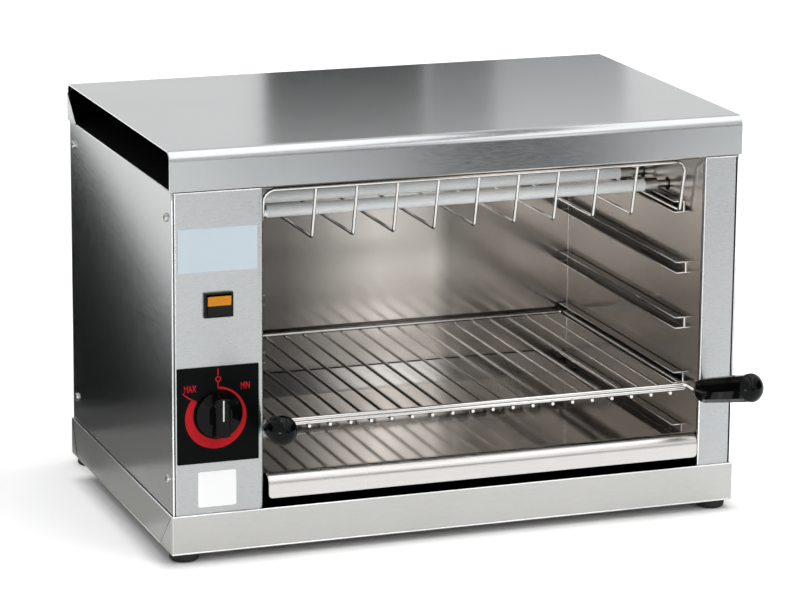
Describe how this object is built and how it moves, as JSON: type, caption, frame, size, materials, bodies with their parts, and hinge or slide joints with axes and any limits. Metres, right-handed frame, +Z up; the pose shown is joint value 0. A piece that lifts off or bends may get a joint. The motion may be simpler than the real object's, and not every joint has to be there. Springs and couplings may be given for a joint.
{
  "type": "salamander grill",
  "caption": "Table-top salamander grill: open-fronted steel cabinet with quartz tubes, wire guard, sliding rack with grips, crumb tray, dial and rocker switch.",
  "frame": {"origin": "on the standing surface, under the centre of the whole grill with its grips and cable gland", "axes": "+Z up, +X to the right seen from the front, -Y to the front"},
  "size_m": [0.4508, 0.3721, 0.309],
  "materials": {
    "brushed_panel": "brushed",
    "satin_base": "satin",
    "inner_sheet": "dull",
    "bright_liner": "bright",
    "bright_wire": "polished",
    "fixings": "polished",
    "foot_rubber": "matt",
    "milky_quartz": "frosted",
    "coil_wire": "oxidised",
    "cap_metal": "satin",
    "steatite": "matt",
    "black_phenolic": "moulded gloss",
    "dial_black": "printed plate",
    "regulator_case": "moulded",
    "switch_black": "moulded",
    "amber_lens": "clear moulded",
    "label_film": "matt",
    "silicone_lead": "braided sleeve"
  },
  "bodies": {
    "housing": {"base_plate": "inner_sheet", "base_plinth": "satin_base", "blank_labels": "label_film", "cable_gland": "switch_black", "ceramic_bushes": "steatite", "control_panel": "brushed_panel", "cover_brackets": "inner_sheet", "dial_plate": "dial_black", "foot_front_left": "foot_rubber", "foot_front_right": "foot_rubber", "foot_rear_left": "foot_rubber", "foot_rear_right": "foot_rubber", "foot_screws": "fixings", "heat_shield": "inner_sheet", "heating_coils": "coil_wire", "inner_leads": "silicone_lead", "liner_left": "bright_liner", "liner_rear": "bright_liner", "liner_right": "bright_liner", "panel_screws": "fixings", "quartz_tube_1": "milky_quartz", "quartz_tube_2": "milky_quartz", "quartz_tube_3": "milky_quartz", "quartz_tube_4": "milky_quartz", "rear_panel": "brushed_panel", "reflector": "bright_liner", "regulator_body": "regulator_case", "regulator_nut": "fixings", "right_pillar": "brushed_panel", "runner_left_1": "bright_liner", "runner_left_2": "bright_liner", "runner_left_3": "bright_liner", "runner_left_4": "bright_liner", "runner_left_5": "bright_liner", "runner_right_1": "bright_liner", "runner_right_2": "bright_liner", "runner_right_3": "bright_liner", "runner_right_4": "bright_liner", "runner_right_5": "bright_liner", "runner_rivets": "fixings", "side_panel_left": "brushed_panel", "side_panel_right": "brushed_panel", "switch_housing": "switch_black", "terminal_block": "regulator_case", "top_cover": "brushed_panel", "tube_end_caps": "cap_metal", "tube_links": "cap_metal"},
    "guard": {"guard_frame": "bright_wire", "guard_wires": "bright_wire"},
    "rack": {"rack_frame": "bright_wire", "rack_wires": "bright_wire", "rack_handle_rod": "bright_wire", "grip_left": "black_phenolic", "grip_right": "black_phenolic", "grip_ferrules": "bright_wire"},
    "tray": {"crumb_tray": "bright_liner"},
    "knob": {"control_knob": "black_phenolic", "regulator_shaft": "fixings"},
    "rocker": {"switch_rocker": "switch_black", "switch_lens": "amber_lens"}
  },
  "joints": [
    {"name": "rack_slide", "type": "slide", "parent": "housing", "child": "rack", "axis": [0, -1, 0], "range_m": [0, 0.2]},
    {"name": "guard_slide", "type": "slide", "parent": "housing", "child": "guard", "axis": [0, -1, 0], "range_m": [0, 0.2]},
    {"name": "tray_slide", "type": "slide", "parent": "housing", "child": "tray", "axis": [0, -1, 0], "range_m": [0, 0.2]},
    {"name": "knob_turn", "type": "hinge", "parent": "housing", "child": "knob", "pos_m": [-0.1894, -0.11213, 0.112], "axis": [0, 1, 0], "range_deg": [0, 300]},
    {"name": "switch_rock", "type": "hinge", "parent": "housing", "child": "rocker", "pos_m": [-0.1888, -0.11163, 0.19415], "axis": [-1, 0, 0], "range_deg": [0, 14]}
  ]
}
